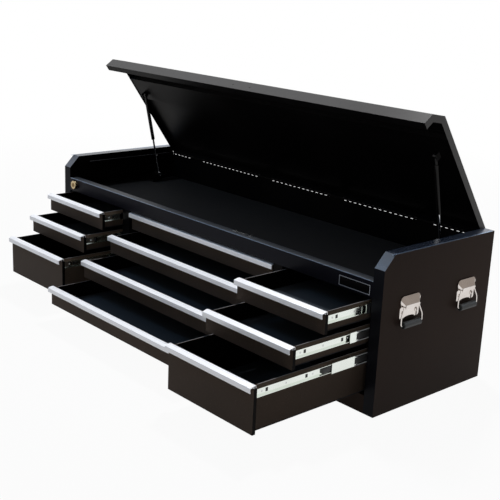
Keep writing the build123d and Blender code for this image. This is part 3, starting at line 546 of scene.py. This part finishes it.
def makeSlideParts():
    # release levers, rivets and dark patches on the drawers' runners; the patches are painted shade in place
    # of open slots
    for name in drawerNames:
        low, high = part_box("runners_" + name)
        middle = (low.z + high.z) / 2
        levers = bmesh.new()
        rivets = bmesh.new()
        slots = bmesh.new()
        for side, wall in ((-1, low.x), (1, high.x)):
            web = wall - side * webInset * mm
            start = low.y + leverSize["start"] * mm
            ends = sorted((web, web + side * leverSize["proud"] * mm))
            addSlab(levers, (ends[0], start, middle - leverSize["height"] / 2 * mm),
                    (ends[1], start + leverSize["length"] * mm, middle + leverSize["height"] / 2 * mm),
                    leverSize["corner"] * mm)
            ends = sorted((web, web + side * slotShadeSize["thick"] * mm))
            for distance in slotShadeSize["places"]:
                addSlab(slots, (ends[0], low.y + (distance - slotShadeSize["length"] / 2) * mm,
                                middle - slotShadeSize["height"] / 2 * mm),
                        (ends[1], low.y + (distance + slotShadeSize["length"] / 2) * mm,
                         middle + slotShadeSize["height"] / 2 * mm))
            for distance in rivetSize["places"]:
                addDome(rivets, (web, low.y + distance * mm, middle), (side, 0, 0),
                        rivetSize["radius"] * mm, rivetSize["height"] * mm)
        addPiece("levers_" + name, levers, "drawer_" + name, "blackPlasticAndShade")
        addPiece("slotShades_" + name, slots, "drawer_" + name, "blackPlasticAndShade", smooth=False)
        addPiece("rivets_" + name, rivets, "drawer_" + name, "screwSteel")


cageSize = {"front": -336.0, "rear": -271.0, "half": 10.5, "edge": 14.0, "outer": 16.9, "thick": 0.2,
            "least": 10.0}


def makeCages():
    # dark patch for the ball cage, with the dark reflection of the opening painted into it, and painted
    # highlights along its edges, on the middle members that stand far enough out
    for name in drawerNames:
        low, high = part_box("sliders_" + name)
        if low.y > cageSize["front"] * mm + cageSize["least"] * mm:
            continue
        middle = (low.z + high.z) / 2
        dark = bmesh.new()
        edges = bmesh.new()
        for side, face in ((-1, low.x), (1, high.x)):
            ends = sorted((face, face + side * cageSize["thick"] * mm))
            for bm, bottom, top in ((dark, -cageSize["half"], cageSize["half"]),
                                    (edges, cageSize["edge"], cageSize["outer"]),
                                    (edges, -cageSize["outer"], -cageSize["edge"])):
                addSlab(bm, (ends[0], cageSize["front"] * mm, middle + bottom * mm),
                        (ends[1], cageSize["rear"] * mm, middle + top * mm))
        addPiece("cageShades_" + name, dark, "sliders_" + name, "blackPlasticAndShade", smooth=False)
        addPiece("edgeHighlights_" + name, edges, "sliders_" + name, "zincAndHighlightWhite", smooth=False)


trayHighlight = {"start": 22.0, "end": 3.0, "wide": 1.4, "proud": 0.2, "front": 60.0}


def makeTrayHighlights():
    # painted highlight: a light line along the top edge of each tray's sides
    for name in drawerNames:
        node = nodes["drawer_" + name]
        low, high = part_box("drawer_" + name)
        sides = [v.co for v in node.data.vertices if v.co.y > low.y + trayHighlight["front"] * mm]
        top = max(co.z for co in sides)
        bm = bmesh.new()
        for side, outer in ((-1, min(co.x for co in sides)), (1, max(co.x for co in sides))):
            ends = sorted((outer + side * trayHighlight["proud"] * mm, outer - side * trayHighlight["wide"] * mm))
            addSlab(bm, (ends[0], low.y + trayHighlight["start"] * mm, top - trayHighlight["proud"] * mm),
                    (ends[1], high.y - trayHighlight["end"] * mm, top + trayHighlight["proud"] * mm))
        addPiece("trayHighlights_" + name, bm, "drawer_" + name, "hemHighlightGrey", smooth=False)


edgeSize = {"railHalf": 871.0, "railWide": 3.2, "railLow": 1.2, "railCorner": 0.2, "proud": 0.25}
foldSize = {"wide": 6.5, "front": -248.0, "rear": 272.0, "out": 0.1, "deep": 0.8, "rise": 0.15, "corner": 0.1}
hemSize = {"front": -180.0, "rear": 258.0, "wide": 2.4, "place": 873.0, "height": 505.0, "corner": 0.3}


def makeEdges():
    # painted highlights: light strips along the folded edges, and light hems on the side panels
    railLow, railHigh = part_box("front_rail")
    panelLow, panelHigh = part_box("side_panels")
    rail = bmesh.new()
    addSlab(rail, (-edgeSize["railHalf"] * mm, railLow.y - edgeSize["proud"] * mm,
                   railHigh.z - edgeSize["railLow"] * mm),
            (edgeSize["railHalf"] * mm, railLow.y + edgeSize["railWide"] * mm,
             railHigh.z + edgeSize["proud"] * mm), edgeSize["railCorner"] * mm)
    addPiece("rail_edge_highlight", rail, "chest", "edgeHighlightPaint")
    folds = bmesh.new()
    hems = bmesh.new()
    half = hemSize["wide"] / 2 * mm
    for side, outer in ((-1, panelLow.x), (1, panelHigh.x)):
        ends = sorted((outer - side * foldSize["wide"] * mm, outer + side * foldSize["out"] * mm))
        addSlab(folds, (ends[0], foldSize["front"] * mm, panelHigh.z - foldSize["deep"] * mm),
                (ends[1], foldSize["rear"] * mm, panelHigh.z + foldSize["rise"] * mm),
                foldSize["corner"] * mm)
        middle = side * hemSize["place"] * mm
        addSlab(hems, (middle - half, hemSize["front"] * mm, hemSize["height"] * mm - half),
                (middle + half, hemSize["rear"] * mm, hemSize["height"] * mm + half),
                hemSize["corner"] * mm)
    addPiece("fold_edge_highlights", folds, "chest", "edgeHighlightPaint")
    addPiece("panel_hem_highlights", hems, "chest", "hemHighlightGrey")


hingeSize = {"start": -866.0, "strips": (11, 31, 27, 29, 17), "knuckle": 12.7, "space": 67.875,
             "near": 276.9, "far": 278.4, "bodyLow": 496.3, "bodyHigh": 501.0, "lidLow": 507.0,
             "lidHigh": 511.7, "lipHigh": 497.4}


def makeHingeFills():
    # folded sheet that closes the notches between the hinge's strips
    size = hingeSize
    body = bmesh.new()
    lid = bmesh.new()
    start = size["start"]
    for number, count in enumerate(size["strips"]):
        end = start + count * size["knuckle"]
        addSlab(body, (start * mm, size["near"] * mm, size["bodyLow"] * mm),
                (end * mm, size["far"] * mm, size["lipHigh"] * mm))
        start = end + size["space"]
        if number < len(size["strips"]) - 1:
            addSlab(body, (end * mm, size["near"] * mm, size["bodyLow"] * mm),
                    (start * mm, size["far"] * mm, size["bodyHigh"] * mm))
            addSlab(lid, (end * mm, size["near"] * mm, size["lidLow"] * mm),
                    (start * mm, size["far"] * mm, size["lidHigh"] * mm))
    pivot = Vector(joints["lid_hinge"]["pos_m"])
    turn = Matrix.Translation(pivot) @ Matrix.Rotation(-lidAngle, 4, "X") @ Matrix.Translation(-pivot)
    bmesh.ops.transform(lid, matrix=turn, verts=lid.verts)
    addPiece("hinge_fill_body", body, "chest", "innerBlackAndShadePaint", smooth=False)
    addPiece("hinge_fill_lid", lid, "lid", "innerBlackAndShadePaint", smooth=False)


badgeSize = {"left": 731.0, "right": 864.0, "low": 395.0, "high": 430.0, "thick": 1.0, "border": 2.0,
             "borderInset": 1.2, "corner": 0.4, "lineProud": 0.3, "lineSunk": 0.1}


def makeBadgePlate():
    # a plain plate with a thin bright line around it
    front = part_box("front_rail")[0].y
    plate = bmesh.new()
    addSlab(plate, (badgeSize["left"] * mm, front - badgeSize["thick"] * mm, badgeSize["low"] * mm),
            (badgeSize["right"] * mm, front, badgeSize["high"] * mm), badgeSize["corner"] * mm)
    addPiece("badge_plate", plate, "chest", "innerBlackAndShadePaint")
    line = bmesh.new()
    inset, border = badgeSize["borderInset"], badgeSize["border"]
    left, right = badgeSize["left"] + inset, badgeSize["right"] - inset
    low, high = badgeSize["low"] + inset, badgeSize["high"] - inset
    face = front - badgeSize["thick"] * mm
    for x0, x1, z0, z1 in ((left, right, low, low + border), (left, right, high - border, high),
                           (left, left + border, low + border, high - border),
                           (right - border, right, low + border, high - border)):
        addSlab(line, (x0 * mm, face - badgeSize["lineProud"] * mm, z0 * mm),
                (x1 * mm, face + badgeSize["lineSunk"] * mm, z1 * mm))
    addPiece("badge_line", line, "chest", "badgeSilver", smooth=False)


nutSize = {"out": 813.1, "radius": 6.5, "height": 4.0, "sides": 6}


def makeStrutNuts():
    # a nut on the outer end of each strut's lower stud
    nuts = bmesh.new()
    stud = joints["strut_pivot"]["pos_m"]
    for side in (-1, 1):
        addDome(nuts, (side * nutSize["out"] * mm, stud[1], stud[2]), (side, 0, 0),
                nutSize["radius"] * mm, nutSize["height"] * mm, nutSize["sides"])
    addPiece("strut_nuts", nuts, "chest", "zincAndHighlightWhite", smooth=False)


makeLiners()
makeSlideParts()
makeBadgePlate()
makeStrutNuts()
makeCages()
makeTrayHighlights()
makeEdges()
makeHingeFills()
print("new pieces made")


# stage, light and camera

stageLook = {"floor": (0.52, 0.51, 0.5), "nearWhite": 0.95, "near": 1.6, "far": 4.5, "size": 9.0,
             "drop": 0.0005}


def seenWhite(tree):
    # 1 for rays from the camera, off something glossy or through glass
    path = tree.nodes.new("ShaderNodeLightPath")
    mirrored = mathNode(tree, "MAXIMUM", path.outputs["Is Glossy Ray"], path.outputs["Is Transmission Ray"])
    return mathNode(tree, "MAXIMUM", path.outputs["Is Camera Ray"], mirrored)


def makeStage():
    # a pale floor that the camera sees as white, with the shadow left in it near the chest
    material = bpy.data.materials.new("stageWhite")
    material.use_nodes = True
    tree = material.node_tree
    tree.nodes.clear()
    out = tree.nodes.new("ShaderNodeOutputMaterial")
    matte = tree.nodes.new("ShaderNodeBsdfDiffuse")
    matte.inputs["Color"].default_value = (*stageLook["floor"], 1)
    glow = tree.nodes.new("ShaderNodeEmission")
    glow.inputs["Color"].default_value = (1, 1, 1, 1)
    glow.inputs["Strength"].default_value = 1.0
    seen = seenWhite(tree)
    coords = tree.nodes.new("ShaderNodeTexCoord")
    away = tree.nodes.new("ShaderNodeVectorMath")
    away.operation = "LENGTH"
    tree.links.new(coords.outputs["Object"], away.inputs[0])
    white = mapRange(tree, away.outputs["Value"], stageLook["near"], stageLook["far"],
                     stageLook["nearWhite"], 1.0)
    mix = tree.nodes.new("ShaderNodeMixShader")
    tree.links.new(mathNode(tree, "MULTIPLY", seen, white), mix.inputs[0])
    tree.links.new(matte.outputs[0], mix.inputs[1])
    tree.links.new(glow.outputs[0], mix.inputs[2])
    tree.links.new(mix.outputs[0], out.inputs["Surface"])
    mesh = bpy.data.meshes.new("floor")
    bm = bmesh.new()
    bmesh.ops.create_grid(bm, x_segments=1, y_segments=1, size=stageLook["size"])
    bm.to_mesh(mesh)
    bm.free()
    mesh.materials.append(material)
    floor = bpy.data.objects.new("floor", mesh)
    floor.location.z = -stageLook["drop"]
    scene.collection.objects.link(floor)


worldLook = {"fill": 0.09, "tint": (0.95, 0.975, 1.0)}


def makeWorld():
    world = bpy.data.worlds.new("studio")
    scene.world = world
    world.use_nodes = True
    tree = world.node_tree
    background = tree.nodes["Background"]
    seen = seenWhite(tree)
    tree.links.new(mixColour(tree, seen, worldLook["tint"], (1.0, 1.0, 1.0)), background.inputs["Color"])
    tree.links.new(mapRange(tree, seen, 0.0, 1.0, worldLook["fill"], 1.0), background.inputs["Strength"])


lampLook = {
    "keyLight": {"at": (-0.45, 0.92, 3.65), "to": (0.0, -0.05, 0.4), "size": (0.34, 0.34), "watts": 122.0,
                 "tint": (0.97, 0.985, 1.0)},
    "leftSky": {"at": (-1.75, -0.45, 2.95), "to": (0.2, -0.2, 0.6), "size": (1.3, 1.3), "watts": 5.0,
                "tint": (0.97, 0.98, 1.0)},
    "blueSky": {"at": (-1.3, -1.6, 2.4), "to": (0.5, -0.2, 0.4), "size": (0.9, 0.9), "watts": 10.0,
                "tint": (0.36, 0.64, 1.0)},
    "rearSky": {"at": (1.66, 2.43, 2.1), "to": (0.9, 0.2, 0.4), "size": (0.8, 0.8), "watts": 6.0,
                "tint": (0.6, 0.78, 1.0)},
}


def makeLamps():
    for name, look in lampLook.items():
        light = bpy.data.lights.new(name, "AREA")
        light.shape = "RECTANGLE"
        light.size, light.size_y = look["size"]
        light.energy = look["watts"]
        light.color = look["tint"]
        lamp = bpy.data.objects.new(name, light)
        lamp.location = look["at"]
        aim = Vector(look["to"]) - Vector(look["at"])
        lamp.rotation_euler = aim.to_track_quat("-Z", "Y").to_euler()
        scene.collection.objects.link(lamp)


cameraLook = {"lens": 70.0, "azimuth": 47.5835, "elevation": 16.2022, "roll": 2.5954,
              "at": (2.714685, -2.48153, 1.353145), "sensor": 36.0, "clip": 60.0}


def makeCamera():
    camera = bpy.data.cameras.new("camera")
    camera.lens = cameraLook["lens"]
    camera.sensor_width = cameraLook["sensor"]
    camera.clip_end = cameraLook["clip"]
    holder = bpy.data.objects.new("camera", camera)
    azimuth, elevation, roll = (math.radians(cameraLook[k]) for k in ("azimuth", "elevation", "roll"))
    back = Vector((math.sin(azimuth) * math.cos(elevation), -math.cos(azimuth) * math.cos(elevation),
                   math.sin(elevation)))
    right = Vector((math.cos(azimuth), math.sin(azimuth), 0.0))
    up = back.cross(right)
    rolledRight = right * math.cos(roll) + up * math.sin(roll)
    rolledUp = up * math.cos(roll) - right * math.sin(roll)
    turn = Matrix((rolledRight, rolledUp, back)).transposed().to_4x4()
    holder.matrix_world = Matrix.Translation(cameraLook["at"]) @ turn
    scene.collection.objects.link(holder)
    scene.camera = holder


makeStage()
makeWorld()
makeLamps()
makeCamera()
print("stage, lamps and camera set")
